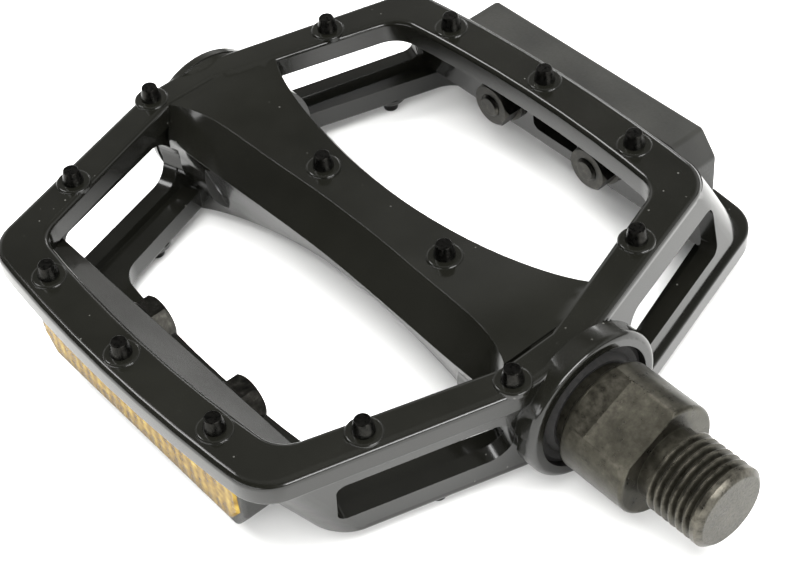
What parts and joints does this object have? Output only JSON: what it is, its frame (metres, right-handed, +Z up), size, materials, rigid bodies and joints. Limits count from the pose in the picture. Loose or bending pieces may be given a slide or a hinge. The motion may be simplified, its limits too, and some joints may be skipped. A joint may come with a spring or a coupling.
{
  "type": "bicycle flat pedal",
  "caption": "Flat bicycle pedal: cast open platform on a cup-and-cone spindle, traction studs on both faces, a reflector on each long edge.",
  "frame": {"origin": "on the spindle axis, midway along the platform", "axes": "+X along the spindle toward the crank arm, +Y to the rear edge, +Z up out of the top face"},
  "size_m": [0.1173, 0.1006, 0.0264],
  "materials": {
    "black_paint": "gloss black coating on a cast body",
    "spindle_steel": "forged, blackened and slightly worn",
    "stud_steel": "black oxide with bright rims",
    "bearing_steel": "ground and polished",
    "plated_steel": "zinc plated",
    "black_plastic": "moulded, fine grain",
    "amber_lens": "clear amber with prisms behind a smooth face",
    "seal_rubber": "soft black"
  },
  "bodies": {
    "spindle_assembly": {"spindle": "spindle_steel", "outboard_cone": "bearing_steel", "lock_washer": "plated_steel", "lock_nut": "plated_steel"},
    "pedal": {"pedal_body": "black_paint", "rim_studs": "stud_steel", "barrel_studs": "stud_steel", "inboard_cup": "bearing_steel", "inboard_seal": "seal_rubber", "outboard_cup": "bearing_steel", "dust_cap": "black_plastic", "front_reflector_housing": "black_plastic", "front_reflector_lens": "amber_lens", "rear_reflector_housing": "black_plastic", "rear_reflector_lens": "amber_lens", "reflector_bolts": "plated_steel", "reflector_nuts": "plated_steel", "reflector_washers": "plated_steel"},
    "inboard_ball_ring": {"inboard_balls": "bearing_steel"},
    "outboard_ball_ring": {"outboard_balls": "bearing_steel"}
  },
  "joints": [
    {"name": "pedal_spin", "type": "hinge", "parent": "spindle_assembly", "child": "pedal", "pos_m": [0, 0, 0], "axis": [1, 0, 0], "continuous": true},
    {"name": "inboard_balls_roll", "type": "hinge", "parent": "spindle_assembly", "child": "inboard_ball_ring", "pos_m": [0.0406, 0, 0], "axis": [1, 0, 0], "continuous": true},
    {"name": "outboard_balls_roll", "type": "hinge", "parent": "spindle_assembly", "child": "outboard_ball_ring", "pos_m": [-0.033, 0, 0], "axis": [1, 0, 0], "continuous": true}
  ],
  "couplings": [
    {"joint": "inboard_balls_roll", "follows": "pedal_spin", "ratio": 0.58},
    {"joint": "outboard_balls_roll", "follows": "pedal_spin", "ratio": 0.58}
  ]
}
